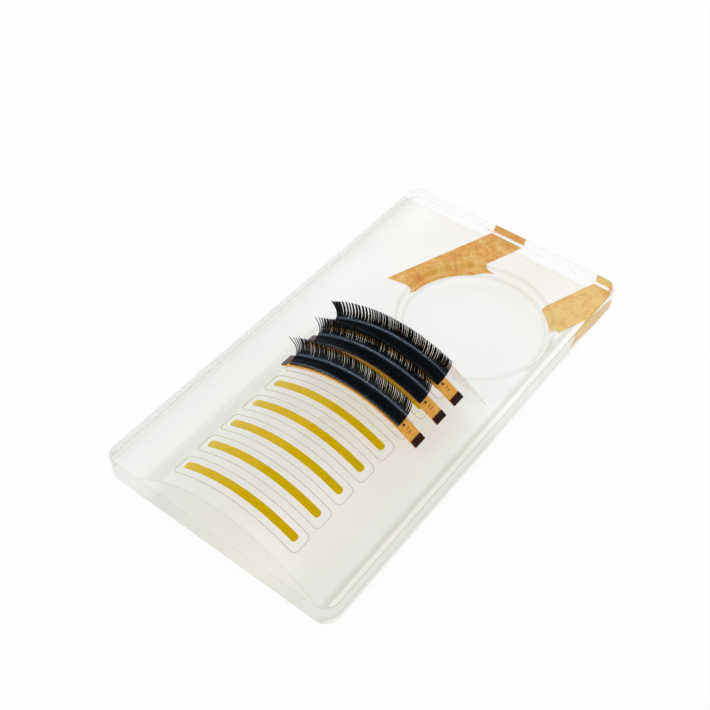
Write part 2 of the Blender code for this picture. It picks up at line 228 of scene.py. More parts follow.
# %% [markdown]
# One skin
#
# The bond between the two blocks can't be seen, so a union joins them, and a difference takes the
# tool away. Curved faces are shaded smooth, edges over 24 degrees stay sharp, and weighted normals
# keep the large flat faces flat beside their bevels.

# %% Fuse the block and cut the well
for operation, other in (("UNION", dome), ("DIFFERENCE", tool)):
    fuse = block.modifiers.new("fuse", "BOOLEAN")
    fuse.operation = operation
    fuse.solver = "EXACT"
    fuse.object = other
    finish_modifiers(block)
    bpy.data.objects.remove(other, do_unlink=True)
choose(block)
bpy.ops.object.shade_smooth_by_angle(angle=math.radians(24))
even = block.modifiers.new("even", "WEIGHTED_NORMAL")
even.keep_sharp = True
finish_modifiers(block)
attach(block, "holder")
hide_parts("base_slab", "lash_bed")
print("block faces:", len(block.data.polygons))

# %% [markdown]
# Prints and tapes on the arch
#
# Each flat thing on the bed is a thin patch. It is made flat, with rounded corners, sliced
# across so that it can bend, and then every point is laid on the arch: the way along the patch
# becomes the way along the curve, and the height becomes the distance from the arch's surface.

# %% A thin patch, and the way it is laid on the arch
NEWTON_STEPS = 6


def on_bed(way, y, height):
    """The point that lies this way along the bed's curve from its crown, and this far above it."""
    across = way
    # Newton's method finds how far across the bed a way along its curve reaches
    for _ in range(NEWTON_STEPS):
        slope = across / CROWN_RADIUS
        lean = math.hypot(1, slope)
        across -= ((across * lean + CROWN_RADIUS * math.asinh(slope)) / 2 - way) / lean
    slope = across / CROWN_RADIUS
    lean = math.hypot(1, slope)
    return BED_X + across + height * slope / lean, y, BED_TOP - across * slope / 2 + height / lean


def lay_on_bed(piece, y):
    """Bends a flat piece over the bed, with its own y counted from this one."""
    for vert in piece.data.vertices:
        vert.co = on_bed(vert.co.x, y + vert.co.y, vert.co.z)


def slice_across(piece, spacing=0.0006):
    """Cuts a patch across every so often, so that it can follow the arch."""
    choose(piece)
    bpy.ops.object.mode_set(mode="EDIT")
    xs = [v.co.x for v in piece.data.vertices]
    count = math.ceil((max(xs) - min(xs)) / spacing)
    for step in range(1, count):
        bpy.ops.mesh.select_all(action="SELECT")
        bpy.ops.mesh.bisect(plane_co=(min(xs) + (max(xs) - min(xs)) * step / count, 0, 0),
                            plane_no=(1, 0, 0))
    fresh()


def patch(name, low, high, corner=0.0, steps=6):
    """A flat box from its low to its high corner, with rounded upright edges."""
    fresh()
    size = [b - a for a, b in zip(low, high)]
    bpy.ops.mesh.primitive_cube_add(size=1, location=[(a + b) / 2 for a, b in zip(low, high)],
                                    scale=size)
    piece = keep(name)
    if corner:
        bpy.ops.object.mode_set(mode="EDIT")
        pick(piece, "EDGE", lambda e: abs(e.verts[0].co.z - e.verts[1].co.z) > size[2] / 2)
        bpy.ops.mesh.bevel(offset=corner, segments=steps, profile=0.5, affect="EDGES")
        fresh()
    return piece


def copy_flat(piece, name):
    """A copy of a flat piece with its own mesh."""
    twin = piece.copy()
    twin.data = piece.data.copy()
    twin.name = twin.data.name = name
    bpy.context.collection.objects.link(twin)
    return twin


def dress(piece, body, slot, *nodes, smooth_under=30):
    """Smooths a piece and says what it rides on and what it replaces; the finish it is given as slot
    is not used.
    """
    choose(piece)
    bpy.ops.object.shade_smooth_by_angle(angle=math.radians(smooth_under))
    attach(piece, body)
    if nodes:
        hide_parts(*nodes)


# %% [markdown]
# The guide prints
#
# Eight solid bars and eight fine outlines are screen printed on the dome in gold ink. A bar shows
# where a strip of lashes goes, and its outline shows the strip's edge. Screen ink stands a few
# hundredths of a millimetre proud. Here it is drawn a little thicker, and sunk into the acrylic,
# so that no air shows under it.

# %% Solid bars
GUIDE_SHIFT, BAR_LENGTH, BAR_WIDTH, BAR_CORNER = -0.0001, 0.0345, 0.0021, 0.0008
INK_SUNK, INK_PROUD = -0.00002, 0.00012
bar = patch("guide_bar", (GUIDE_SHIFT - BAR_LENGTH / 2, -BAR_WIDTH / 2, INK_SUNK),
            (GUIDE_SHIFT + BAR_LENGTH / 2, BAR_WIDTH / 2, INK_PROUD), BAR_CORNER)
slice_across(bar)
bars = []
for row in range(ROW_COUNT):
    bars.append(copy_flat(bar, f"guide_bar_print_{row + 1}"))
    lay_on_bed(bars[-1], ROW_YS[row])
    dress(bars[-1], "holder", "guide_ink", f"guide_bar_{row + 1}")
bpy.data.objects.remove(bar, do_unlink=True)
print("bar faces:", len(bars[0].data.polygons))

# %% Fine outlines
OUTLINE_LENGTH, OUTLINE_WIDTH, OUTLINE_CORNER, OUTLINE_LINE = 0.0385, 0.0059, 0.0014, 0.00014
LOOKS_UP = 0.9
outline = patch("guide_outline", (GUIDE_SHIFT - OUTLINE_LENGTH / 2, -OUTLINE_WIDTH / 2, INK_SUNK),
                (GUIDE_SHIFT + OUTLINE_LENGTH / 2, OUTLINE_WIDTH / 2, INK_PROUD), OUTLINE_CORNER)
choose(outline)
bpy.ops.object.mode_set(mode="EDIT")
pick(outline, "FACE", lambda f: abs(f.normal.z) > LOOKS_UP)
bpy.ops.mesh.inset(thickness=OUTLINE_LINE, use_even_offset=True)
bpy.ops.mesh.bridge_edge_loops()
slice_across(outline)
lines = []
for row in range(ROW_COUNT):
    lines.append(copy_flat(outline, f"guide_outline_print_{row + 1}"))
    lay_on_bed(lines[-1], ROW_YS[row])
    dress(lines[-1], "holder", "line_ink", f"guide_outline_{row + 1}")
bpy.data.objects.remove(outline, do_unlink=True)
print("outline faces:", len(lines[0].data.polygons))

# %% [markdown]
# The lash strips
#
# A strip is a narrow foil tape with a dark tab at each end for the tweezers. On its longer, right
# hand tail it has an arrow towards the lashes and their length in millimetres. A technician lays
# each strip along a guide bar by eye, so the three don't lie quite alike.

# %% Tapes and end tabs
TAPE_LEFT, TAPE_RIGHT, TAPE_WIDTH, TAPE_CORNER = -0.0214, 0.0226, 0.0038, 0.00015
TAPE_UNDER, TAPE_FACE = 0.00006, 0.00045
TAB_LENGTH, TAB_SUNK, TAB_FACE, TAB_CORNER = 0.0019, 0.0001, 0.00062, 0.0001
tape = patch("tape", (TAPE_LEFT, 0, TAPE_UNDER), (TAPE_RIGHT, TAPE_WIDTH, TAPE_FACE),
             TAPE_CORNER, steps=3)
left_tab = patch("left_tab", (TAPE_LEFT, 0, TAPE_FACE - TAB_SUNK),
                 (TAPE_LEFT + TAB_LENGTH, TAPE_WIDTH, TAB_FACE), TAB_CORNER, steps=2)
right_tab = patch("right_tab", (TAPE_RIGHT - TAB_LENGTH, 0, TAPE_FACE - TAB_SUNK),
                  (TAPE_RIGHT, TAPE_WIDTH, TAB_FACE), TAB_CORNER, steps=2)
tapes, tabs = [], []
for flat, kind, slot in ((tape, "tape", "foil_tape"), (left_tab, "left_tab", "end_tab"),
                         (right_tab, "right_tab", "end_tab")):
    slice_across(flat)
    for number, near_edge in enumerate(STRIP_YS, 1):
        piece = copy_flat(flat, f"strip_{number}_{kind}_dressed")
        lay_on_bed(piece, near_edge)
        dress(piece, f"strip_{number}", slot, f"strip_{number}_{kind}")
        (tapes if kind == "tape" else tabs).append(piece)
    bpy.data.objects.remove(flat, do_unlink=True)
print("tape faces:", len(tapes[0].data.polygons))

# %% [markdown]
# The marks on the tail
#
# Each tail is printed in black: a small triangle that points to the lashes and a plain number for
# their length. The number is set as text, made a mesh and laid on the arch.

# %% Arrow and number on each tail
TAIL_LENGTH = 0.0066
TAIL_START = TAPE_RIGHT - TAIL_LENGTH
MARK_SUNK, MARK_PROUD = TAPE_FACE - 0.00002, TAPE_FACE + 0.00003
ARROW_AT, ARROW_RADIUS = 0.00075, 0.00055
NUMBER_AT, NUMBER_HEIGHT, LASH_MILLIMETRES = 0.0024, 0.0016, 11
marks = []
fresh()
bpy.ops.mesh.primitive_cylinder_add(vertices=3, radius=ARROW_RADIUS, depth=MARK_PROUD - MARK_SUNK,
                                    location=(TAIL_START + ARROW_AT, TAPE_WIDTH * 0.5,
                                              (MARK_SUNK + MARK_PROUD) / 2),
                                    rotation=(0, 0, math.radians(90)))
arrow = keep("arrow")
fresh()
bpy.ops.object.text_add(location=(TAIL_START + NUMBER_AT, TAPE_WIDTH * 0.5, MARK_SUNK))
number_text = bpy.context.object
number_text.data.body = str(LASH_MILLIMETRES)
number_text.data.size = NUMBER_HEIGHT
number_text.data.align_x = "CENTER"
number_text.data.align_y = "CENTER"
number_text.data.extrude = (MARK_PROUD - MARK_SUNK) / 2
bpy.ops.object.convert(target="MESH")
digits = keep("digits")
for flat, kind in ((arrow, "arrow"), (digits, "number")):
    for number, near_edge in enumerate(STRIP_YS, 1):
        piece = copy_flat(flat, f"strip_{number}_tail_{kind}")
        lay_on_bed(piece, near_edge)
        dress(piece, f"strip_{number}", "end_tab")
        marks.append(piece)
    bpy.data.objects.remove(flat, do_unlink=True)
print("marks:", len(marks))

# %% [markdown]
# The lashes
#
# Lash extensions are tapered PBT fibres, set by the hundred in a thin black band of glue and
# curled by heat. They leave the band flat, lift in a tight bend and then curl back over it. One
# fibre is modelled by extruding a triangle and narrowing it ring by ring. Each strip then holds
# about a thousand copies of it.

# %% One straight fibre
FIBRE_RADIUS = 0.00007
# Rings along a fibre, from inside the band of glue: degrees turned so far, and thickness left
STATIONS = [(0, 1.0), (0, 1.0), (22, 0.98), (42, 0.95), (60, 0.92), (80, 0.86), (92, 0.78),
            (104, 0.60)]
fresh()
bpy.ops.mesh.primitive_circle_add(vertices=3, radius=FIBRE_RADIUS, fill_type="NGON")
fibre = keep("fibre")
bpy.ops.object.mode_set(mode="EDIT")
bpy.ops.mesh.select_all(action="SELECT")
for (_, before), (_, after) in zip(STATIONS, STATIONS[1:]):
    bpy.ops.mesh.extrude_region_move(TRANSFORM_OT_translate={"value": (0, 0, 1)})
    bpy.ops.transform.resize(value=(after / before, after / before, 1))
bpy.ops.mesh.extrude_region_move(TRANSFORM_OT_translate={"value": (0, 0, 1)})
bpy.ops.mesh.merge(type="CENTER")
bpy.ops.mesh.select_all(action="SELECT")
bpy.ops.mesh.normals_make_consistent(inside=False)
fresh()
FIBRE_POINTS = [v.co.copy() for v in fibre.data.vertices]
FIBRE_FACES = [list(p.vertices) for p in fibre.data.polygons]
bpy.data.objects.remove(fibre, do_unlink=True)
print("fibre:", len(FIBRE_POINTS), "points,", len(FIBRE_FACES), "faces")

# %% [markdown]
# The curl
#
# Heat has set each lash in two arcs: a tight one that lifts it off the band and a wide one that
# carries its tip back over the band. The rows look a little flatter towards their left end, so the
# right end gets the whole curl and the left end about three quarters of it.

# %% The path of a lash
HEAD_LENGTH = 0.0028
LASH_LEFT, LASH_RIGHT = TAPE_LEFT + HEAD_LENGTH, TAIL_START
# The band of glue: its near and far edges, its top, and how deep in it a fibre starts
ROOT_NEAR, ROOT_FAR, ROOT_FACE, ROOT_SUNK = 0.0009, 0.0018, 0.00083, 0.0015
LIFT_RADIUS, CURL_RADIUS, LIFT_TURN, TIP_TURN = 0.0028, 0.0072, math.radians(80), 115
TURNS = [math.radians(turn) for turn, _ in STATIONS] + [math.radians(TIP_TURN)]
LEFT_TURN_SHARE = 0.74


def lash_point(turn, lift, curl):
    """Reach and height of a lash where it has turned this far."""
    first = min(turn, LIFT_TURN)
    reach = lift * math.sin(first)
    height = lift * (1 - math.cos(first))
    if turn > LIFT_TURN:
        reach += curl * (math.sin(turn) - math.sin(LIFT_TURN))
        height += curl * (math.cos(LIFT_TURN) - math.cos(turn))
    return reach, height


TIP_HEIGHT = lash_point(TURNS[-1], LIFT_RADIUS, CURL_RADIUS)[1]
print("a lash stands", round(1000 * (ROOT_FACE + TIP_HEIGHT), 1), "mm above the bed")

# %% [markdown]
# The clumps
#
# Neighbouring fibres lean together in clumps, as statics and handling make them do. Below the bend
# they lie shoulder to shoulder, and above it a clump closes towards its tips, which leaves the
# slits of light that the eye reads as single lashes. Each clump parts from the next at a height of
# its own, and a few slits reach far down. The left end of a row is thin, and on the third strip the
# left third has parted into broad blades.

# %% Clumps along a strip
LEAST_CLUMP = 0.0001
# By strip, how far its thin left end runs and how wide the clumps are there
THIN_END = {1: 0.0014, 2: 0.0010, 3: 0.0020}
THIN_CLUMP = {1: 0.00036, 2: 0.00045, 3: 0.00010}
THIN_SPREAD, THIN_SLIT, THIN_PARTING = (0.8, 1.2), 0.00006, 25
# By strip, how far the broad blades run
BLADE_END = {1: 0.0, 2: 0.0, 3: 0.0105}
# Least and most width of a clump and of the slit beside it, and the degrees at which it parts
BLADES = ((0.0009, 0.0011), (0.00030, 0.00042), 36)
# The same for the common kinds, each after the chance up to which it is taken
KINDS = ((0.10, (0.0004, 0.0009), (0.00012, 0.00018), 6),
         (0.30, (0.00036, 0.0009), (0.00006, 0.00012), 16),
         (0.78, (0.00036, 0.00056), (0.00005, 0.00010), 40),
         (1.00, (0.0006, 0.0011), (0.00004, 0.00008), 46))
PARTING_SPREAD = (-6, 12)


def clumps(chance, number):
    """Clumps along the strip: left, right, the slit beside it, and the turn at which it parts."""
    at = LASH_LEFT
    while at < LASH_RIGHT - LEAST_CLUMP:
        kind = chance.random()
        if at < LASH_LEFT + THIN_END[number]:
            width, slit = THIN_CLUMP[number] * chance.uniform(*THIN_SPREAD), THIN_SLIT
            parting = THIN_PARTING
        else:
            widths, slits, parting = next(rest for limit, *rest in KINDS if kind < limit)
            if at < LASH_LEFT + BLADE_END[number]:
                widths, slits, parting = BLADES
            width, slit = chance.uniform(*widths), chance.uniform(*slits)
        right = min(at + width, LASH_RIGHT)
        yield at, right, slit, math.radians(parting + chance.uniform(*PARTING_SPREAD))
        at = right


# %% [markdown]
# The fibres of a strip
#
# Every fibre of a clump is bent alike, or the slits would blur. They lie in three layers, and a
# clump leans a hair to one side. The whole row draws together a little towards its tips, and at the
# left end the outermost fibres splay out. The seed makes the same rows on every run.

# %% Bend the fibres of a strip
SEED, FIBRE_PITCH, LEAST_FIBRES, LAYERS = 20, 0.000034, 3, (0.0, 0.00004, 0.00008)
# A clump's lean, and the least and most shares of its curl and lift and of a fibre's turn and curl
LEAN, CURL_SPREAD, LIFT_SPREAD = 0.00003, (0.985, 1.01), (0.994, 1.006)
TURN_SPREAD, FIBRE_SPREAD = (0.95, 1.0), (0.999, 1.001)
# How much narrower each row is at its tips, and how far and how soon its left end splays
GATHER = {1: 0.11, 2: 0.14, 3: 0.09}
SPLAY = {1: (0.0044, 0.0006), 2: (0.0034, 0.0005), 3: (0.0022, 0.0014)}
# A clump narrows by its slit and this many fibre radii. The others shape its parting and the splay
CLOSE_RADII, PART_BEND, PART_SPEED, SPLAY_BEND = 1.4, 0.85, 1.2, 1.3


def lash_strands(number):
    """Points and faces of one strip's lashes, drawn flat and ready to be laid on the arch."""
    chance = random.Random(SEED + number)
    points, faces = [], []
    for left, right, slit, parting in clumps(chance, number):
        middle = (left + right) / 2
        close = min(1.0, (slit + CLOSE_RADII * FIBRE_RADIUS) / (right - left))
        splay = SPLAY[number][0] * math.exp((LASH_LEFT - middle) / SPLAY[number][1])
        lean = chance.gauss(0, LEAN)
        curl_here = CURL_RADIUS * chance.uniform(*CURL_SPREAD)
        lift_here = LIFT_RADIUS * chance.uniform(*LIFT_SPREAD)
        count = max(LEAST_FIBRES, round((right - left) / FIBRE_PITCH))
        for index in range(count):
            root = left + (right - left) * (index + 0.5) / count
            gained = (1 - LEFT_TURN_SHARE) * (root - LASH_LEFT)
            share = LEFT_TURN_SHARE + gained / (LASH_RIGHT - LASH_LEFT)
            share *= chance.uniform(*TURN_SPREAD)
            layer = LAYERS[index % len(LAYERS)]
            curl = curl_here * chance.uniform(*FIBRE_SPREAD)
            start = len(points)
            for point in FIBRE_POINTS:
                station = round(point.z)
                turn = TURNS[station]
                if turn > LIFT_TURN:
                    turn = LIFT_TURN + (turn - LIFT_TURN) * share
                reach, height = lash_point(turn, lift_here - layer, curl)
                sunk = ROOT_SUNK if station == 0 else 0.0
                rise = height / TIP_HEIGHT
                part = max(0.0, (turn - parting) / (TURNS[-1] - parting)) ** PART_BEND
                x = root + (middle - root) * close * min(1.0, PART_SPEED * part) + lean * part
                x += -GATHER[number] * root * rise - splay * rise ** SPLAY_BEND
                points.append((x + point.x,
                               ROOT_FAR - sunk + reach - point.y * math.sin(turn),
                               ROOT_FACE - FIBRE_RADIUS + layer * (1 - rise) + height
                               + point.y * math.cos(turn)))
            faces += [[start + corner for corner in face] for face in FIBRE_FACES]
    return points, faces


# %% Make the three fans and their bands of glue
BAND_SUNK, BAND_CORNER = 0.00002, 0.00015
fans, bands = [], []
band = patch("band", (LASH_LEFT, ROOT_NEAR, TAPE_FACE - BAND_SUNK),
             (LASH_RIGHT, ROOT_FAR, ROOT_FACE), BAND_CORNER, steps=3)
slice_across(band)
for number, near_edge in enumerate(STRIP_YS, 1):
    points, faces = lash_strands(number)
    fan_mesh = bpy.data.meshes.new(f"strip_{number}_lash_fan")
    fan_mesh.from_pydata(points, [], faces)
    fan = bpy.data.objects.new(f"strip_{number}_lash_fan", fan_mesh)
    bpy.context.collection.objects.link(fan)
    lay_on_bed(fan, near_edge)
    dress(fan, f"strip_{number}", "lash_fibre", f"strip_{number}_lashes", smooth_under=180)
    fans.append(fan)
    bands.append(copy_flat(band, f"strip_{number}_root_band"))
    lay_on_bed(bands[-1], near_edge)
    dress(bands[-1], f"strip_{number}", "lash_fibre")
    print(fan.name, len(fan.data.polygons), "faces")
bpy.data.objects.remove(band, do_unlink=True)

# %% [markdown]
# Materials
#
# Colours are written as sRGB hex codes, as a paint program shows them, and one function turns
# them into the linear values that the shader wants. A second one adds any node with its settings,
# its values and its links. A socket is given by its name, or by its number where several sockets
# share a name, as the two colours of a Mix node do.

# %% Helpers for materials
MIX_A, MIX_B, MIX_COLOUR = 6, 7, 2


def colour(code):
    """A hex code as linear red, green, blue and alpha."""
    shares = [int(code[i:i + 2], 16) / 255 for i in (1, 3, 5)]
    return [s / 12.92 if s <= 0.04045 else ((s + 0.055) / 1.055) ** 2.4 for s in shares] + [1.0]


def node(tree, kind, inputs=None, stops=None, **settings):
    """Adds a node, with values or links by socket and with a ramp's places and colours as stops."""
    made = tree.nodes.new(kind)
    for name, value in settings.items():
        setattr(made, name, value)
    for socket, value in (inputs or {}).items():
        if isinstance(value, bpy.types.NodeSocket):
            tree.links.new(value, made.inputs[socket])
        else:
            made.inputs[socket].default_value = value
    if stops:
        ramp = made.color_ramp
        while len(ramp.elements) < len(stops):
            ramp.elements.new(1.0)
        for element, (place, code) in zip(ramp.elements, stops):
            element.position = place
            element.color = colour(code)
    return made


def material(name):
    """An empty material, its node tree and its Object coordinates."""
    made = bpy.data.materials.new(name)
    made.use_nodes = True
    made.node_tree.nodes.clear()
    place = node(made.node_tree, "ShaderNodeTexCoord").outputs["Object"]
    return made, made.node_tree, place


def surface(tree, shader):
    """Makes this shader the material's surface."""
    node(tree, "ShaderNodeOutputMaterial", {"Surface": shader.outputs[0]})


def paint(made, *pieces):
    """Gives the pieces this material and no other."""
    for piece in pieces:
        piece.data.materials.clear()
        piece.data.materials.append(made)
    print(made.name, "on", len(pieces), "pieces, with", len(made.node_tree.nodes), "nodes")


def paint_faces(made, piece, test):
    """Adds this material to the piece and gives it to the faces that pass the test."""
    piece.data.materials.append(made)
    chosen = [face for face in piece.data.polygons if test(face)]
    for face in chosen:
        face.material_index = len(piece.data.materials) - 1
    print(made.name, "on", len(chosen), "faces, with", len(made.node_tree.nodes), "nodes")


# %% [markdown]
# Cast acrylic, flame polished
#
# Acrylic bends light less than glass, with an index of 1.49, and has almost no tint. Polishing
# leaves a very faint ripple some 12 mm long and hairline wipe marks that only blur a reflection.

# %% Cast acrylic
ACRYLIC_TINT, ACRYLIC_INDEX = colour("#FDFDFD"), 1.49
acrylic, tree, place = material("cast acrylic, flame polished")
ripple = node(tree, "ShaderNodeTexNoise", {"Vector": place, "Scale": 80.0, "Detail": 1.0})
wipe = node(tree, "ShaderNodeTexNoise", {"Vector": place, "Scale": 700.0, "Detail": 3.0})
haze = node(tree, "ShaderNodeMapRange", {
    "Value": wipe.outputs["Fac"], "From Min": 0.35, "From Max": 0.75, "To Max": 0.03})
wave = node(tree, "ShaderNodeBump", {
    "Height": ripple.outputs["Fac"], "Strength": 0.02, "Distance": 0.0002})
surface(tree, node(tree, "ShaderNodeBsdfPrincipled", {
    "Base Color": ACRYLIC_TINT, "Roughness": haze.outputs["Result"], "IOR": ACRYLIC_INDEX,
    "Transmission Weight": 1.0, "Normal": wave.outputs["Normal"]}))
paint(acrylic, block)

# %% [markdown]
# The light inside the block
#
# Light that enters the top meets the sides and the front at a slant and is mirrored there several
# times over, so the renderer is allowed more bounces than it takes by default. It also blurs
# mirrors by default on paths that have met a matt surface. That would dim the white ground seen
# through the acrylic, so it is switched off.

# %% Bounces
bounces = bpy.context.scene.cycles
bounces.max_bounces = 32
bounces.diffuse_bounces = 12
bounces.glossy_bounces = 16
bounces.transmission_bounces = 16
bounces.blur_glossy = 0.0
print("light may bounce", bounces.max_bounces, "times")

# %% [markdown]
# The milled edges
#
# The flat faces are polished clear, but the narrow bevels round them, the rims at the bed's ends and
# the two edges of the well's wall are left as the cutter leaves them: satin. Their colour is painted
# a shade grayer, a painted shade that draws soft gray lines round the tile, an arch at the front and
# two rings in the well. They are picked by their slope, which no flat face has, and by where they
# lie.

# %% Satin bevels, with a painted gray
satin, tree, place = material("scraped acrylic bevel, painted grayer")
scrape = node(tree, "ShaderNodeTexNoise", {"Vector": place, "Scale": 1200.0, "Detail": 3.0})
# Painted shade: the bevel's colour is a gray a little darker than the clear acrylic.
tone = node(tree, "ShaderNodeValToRGB", {"Fac": scrape.outputs["Fac"]},
            stops=[(0.3, "#E6E9E5"), (0.7, "#F0F2EE")])
matt = node(tree, "ShaderNodeMapRange", {
    "Value": scrape.outputs["Fac"], "To Min": 0.14, "To Max": 0.26})
surface(tree, node(tree, "ShaderNodeBsdfPrincipled", {
    "Base Color": tone.outputs["Color"], "Roughness": matt.outputs["Result"],
    "IOR": ACRYLIC_INDEX, "Transmission Weight": 1.0}))

# %% Where the edges are milled
# The z of a face's normal: below the first the face stands upright, above the second it lies level
UPRIGHT, LEVEL = 0.12, 0.985
LIP_HEIGHT, FOOT_HEIGHT, RING_SLOPE, RIM_SLOPES = 0.0005, 0.0004, 0.2, (0.15, 0.98)
# A face this near to a plane or a circle counts as lying on it
TOUCHING = 1e-5


def past_outline(face):
    """How far this face lies outside the slab's straight edges, which is below 0 inside them."""
    return max(abs(face.center.x) - BASE_WIDTH / 2, abs(face.center.y) - BASE_LENGTH / 2)


def on_bevel(face):
    """Tells whether this face slopes and lies along the slab's outline, but not at its back."""
    rim = past_outline(face) > -TOP_BEVEL
    corner_x = abs(face.center.x) - (BASE_WIDTH / 2 - CORNER_RADIUS)
    corner_y = abs(face.center.y) - (BASE_LENGTH / 2 - CORNER_RADIUS)
    if corner_x > 0 and corner_y > 0:
        rim = math.hypot(corner_x, corner_y) > CORNER_RADIUS - TOP_BEVEL
    at_back = face.center.y > BASE_LENGTH / 2 - TOP_BEVEL
    slopes = UPRIGHT < abs(face.normal.z) < LEVEL
    return rim and not at_back and slopes and face.center.z < BASE_THICKNESS


def on_well_ring(face):
    """Tells whether this face slopes at the lip or at the foot of the well's wall."""
    reach = math.hypot(face.center.x - WELL_X, face.center.y - WELL_Y)
    at_lip = face.center.z > BASE_THICKNESS - LIP_HEIGHT
    at_foot = face.center.z < BASE_THICKNESS - WELL_DEPTH + FOOT_HEIGHT
    slopes = RING_SLOPE < face.normal.z < LEVEL
    return reach < WELL_RADIUS + TOUCHING and (at_lip or at_foot) and slopes


def on_bed_rim(face):
    """Tells whether this face is on the eased rim at either end of the bed."""
    ends = min(abs(face.center.y - BED_FRONT), abs(face.center.y - BED_BACK))
    slopes = RIM_SLOPES[0] < abs(face.normal.y) < RIM_SLOPES[1]
    return ends < BED_RIM and slopes and face.center.z > BASE_THICKNESS


paint_faces(satin, block, lambda f: on_bevel(f) or on_well_ring(f) or on_bed_rim(f))

# %% [markdown]
# The machined sides
#
# The slab is cut out with a router and its sides are only buffed, so fine tool marks are left. A
# small share of a gray matt colour is mixed into them as painted shade, so the sides look a shade
# grayer than the faces, both from outside and as mirrors seen through the top. The back shows no gray
# in the photograph and stays clear.

# %% Machined sides, with a painted gray
sawn, tree, place = material("routed and buffed acrylic side, painted grayer")
cuts = node(tree, "ShaderNodeTexNoise", {"Vector": place, "Scale": 900.0, "Detail": 3.0})
buffed = node(tree, "ShaderNodeMapRange", {
    "Value": cuts.outputs["Fac"], "To Min": 0.02, "To Max": 0.10})
clear = node(tree, "ShaderNodeBsdfPrincipled", {
    "Base Color": ACRYLIC_TINT, "Roughness": buffed.outputs["Result"], "IOR": ACRYLIC_INDEX,
    "Transmission Weight": 1.0})
# Painted shade: this share of each side is a gray matt colour, which makes it look grayer.
shade_share = node(tree, "ShaderNodeMapRange", {
    "Value": cuts.outputs["Fac"], "To Min": 0.02, "To Max": 0.06})
tool_marks_and_shade = node(tree, "ShaderNodeBsdfDiffuse", {"Color": colour("#8E9288")})
surface(tree, node(tree, "ShaderNodeMixShader", {
    0: shade_share.outputs["Result"], 1: clear.outputs[0], 2: tool_marks_and_shade.outputs[0]}))

# %% Where the sides are machined
FACES_BACK = 0.6


def on_side(face):
    """Tells whether this face is upright and on the slab's outline, but not on its back."""
    upright = abs(face.normal.z) < UPRIGHT and face.center.z < BASE_THICKNESS
    return upright and face.normal.y < FACES_BACK and past_outline(face) > -CORNER_RADIUS


paint_faces(sawn, block, on_side)

# %% [markdown]
# The white ground
#
# The photograph shows no table through the tile and no bars mirrored in its front: everything under
# the acrylic is an even, soft white. So the underside is taken to be screen printed white behind the
# leaf. The print stops short of the back edge, where the tile looks clear and bright. The ink is in
# contact with the acrylic, so it is given to the block's bottom faces, which are first cut where the
# print stops.

# %% Cut the underside where the print stops
PRINT_MARGIN, FACES_DOWN = 0.0030, -0.99
PRINT_BACK = BASE_LENGTH / 2 - PRINT_MARGIN
choose(block)
bpy.ops.object.mode_set(mode="EDIT")
pick(block, "FACE", lambda f: f.normal.z < FACES_DOWN and f.calc_center_median().z < TOUCHING)
bpy.ops.mesh.bisect(plane_co=(0, PRINT_BACK, 0), plane_no=(0, 1, 0))
fresh()
print("the print ends at", round(1000 * PRINT_BACK, 1), "mm")

# %% [markdown]
# The tones of the print
#
# Screen ink is laid through a mesh, so its white is never quite even. Painted shade makes it a shade
# grayer under the left half of the bed, a little so along the right side, and a light gray at the
# front and left edges. Along the right edge a painted shadow makes a soft gray line, and painted
# light makes a brighter band beyond it. Each of these changes is a smooth step between two places
# along an axis.

# %% The white ink and the shade painted into it
ground, tree, place = material("white screen print under acrylic")
mesh_pattern = node(tree, "ShaderNodeTexNoise", {"Vector": place, "Scale": 1500.0, "Detail": 2.0})
cover = node(tree, "ShaderNodeTexNoise", {"Vector": place, "Scale": 60.0, "Detail": 3.0})
blend = node(tree, "ShaderNodeMath", {
    0: mesh_pattern.outputs["Fac"], 1: 0.35, 2: cover.outputs["Fac"]}, operation="MULTIPLY_ADD")
tone = node(tree, "ShaderNodeValToRGB", {"Fac": blend.outputs[0]},
            stops=[(0.45, "#F7F9F9"), (0.95, "#FBFCFC")])
along = node(tree, "ShaderNodeSeparateXYZ", {0: place}).outputs


def fade(axis, start, end, most=1.0):
    """A smooth change from 0 to this much, between two places along an axis."""
    return node(tree, "ShaderNodeMapRange", {
        "Value": along[axis], "From Min": start, "From Max": end, "To Max": most},
        interpolation_type="SMOOTHSTEP").outputs["Result"]


# Painted shade: the white is drawn grayer under the left half of the bed and a little right of it, in
# front of the well.
from_bed_foot = fade("X", -0.0225, -0.0195)
left_of_middle = fade("X", 0.012, -0.008)
right_of_bed = fade("X", 0.022, 0.028, most=0.2)
before_well = fade("Y", 0.010, 0.000)
bed_shade = node(tree, "ShaderNodeMath", {0: from_bed_foot, 1: left_of_middle, 2: right_of_bed},
              operation="MULTIPLY_ADD")
bed_shade = node(tree, "ShaderNodeMath", {0: bed_shade.outputs[0], 1: before_well}, operation="MULTIPLY")
print_with_bed_shade = node(tree, "ShaderNodeMix", {
    0: bed_shade.outputs[0], MIX_A: tone.outputs["Color"], MIX_B: colour("#EEF1F1")}, data_type="RGBA")

# %% The print's edges, with painted shade and painted light
PRINT_LINE = BASE_WIDTH / 2 - PRINT_MARGIN
# Painted shadow: a soft gray line near the right edge. Painted light: a pure white band beyond it,
# out to the edge.
painted_shadow_line = fade("X", PRINT_LINE - 0.0019, PRINT_LINE - 0.0006)
painted_bright_band = fade("X", PRINT_LINE - 0.0002, PRINT_LINE + 0.0003)
